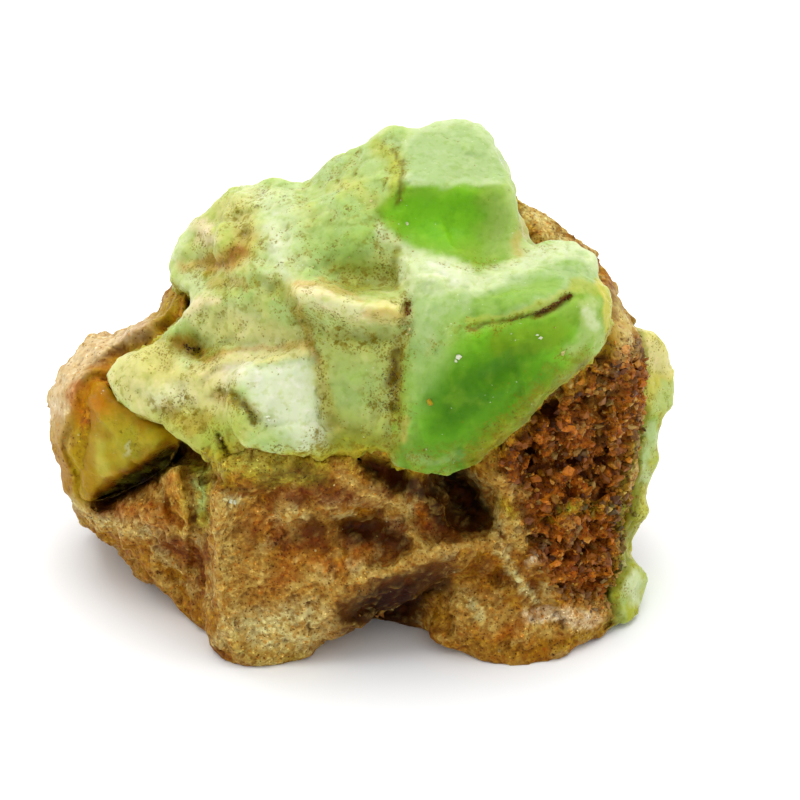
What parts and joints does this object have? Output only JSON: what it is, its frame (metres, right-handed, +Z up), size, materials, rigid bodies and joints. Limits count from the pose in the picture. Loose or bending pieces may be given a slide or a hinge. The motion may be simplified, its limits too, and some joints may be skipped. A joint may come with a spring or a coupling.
{
  "type": "fluorite specimen",
  "caption": "Hand-sized mineral specimen: a waxy green mass grown over a rusty rock that stands on worn feet, with a thin green vein down one flank.",
  "frame": {"origin": "on the table, under the middle of the specimen's bounding box", "axes": "+Z up, +X to the right along the longest side, -Y towards the side with the green front"},
  "size_m": [0.0654, 0.0492, 0.0487],
  "materials": {
    "waxy_green": "satin",
    "vein_green": "satin",
    "amber": "satin",
    "rusty_rock": "matte"
  },
  "bodies": {
    "root": {"green_mass": "waxy_green", "side_vein": "vein_green", "amber_nodule": "amber", "matrix": "rusty_rock"}
  },
  "joints": []
}
